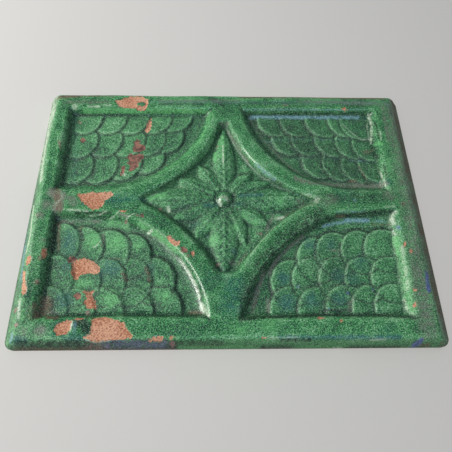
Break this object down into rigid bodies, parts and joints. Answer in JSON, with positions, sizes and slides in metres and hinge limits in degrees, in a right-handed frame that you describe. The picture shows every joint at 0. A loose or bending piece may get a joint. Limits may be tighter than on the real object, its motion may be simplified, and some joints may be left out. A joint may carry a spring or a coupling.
{
  "type": "stove tile",
  "caption": "Flat rectangular stove tile of green-glazed clay with fish-scale corner panels, curved bands and a leaf rosette in low relief.",
  "frame": {"origin": "middle of the tile's flat back", "axes": "+X along the tile's long side, +Y along its short side to the edge that is up when built in, +Z out of the relief face"},
  "size_m": [0.24, 0.172, 0.0107],
  "materials": {
    "green_glaze": "glossy green lead glaze, worn, chipped to orange clay"
  },
  "bodies": {
    "root": {"tile": "green_glaze"}
  },
  "joints": []
}
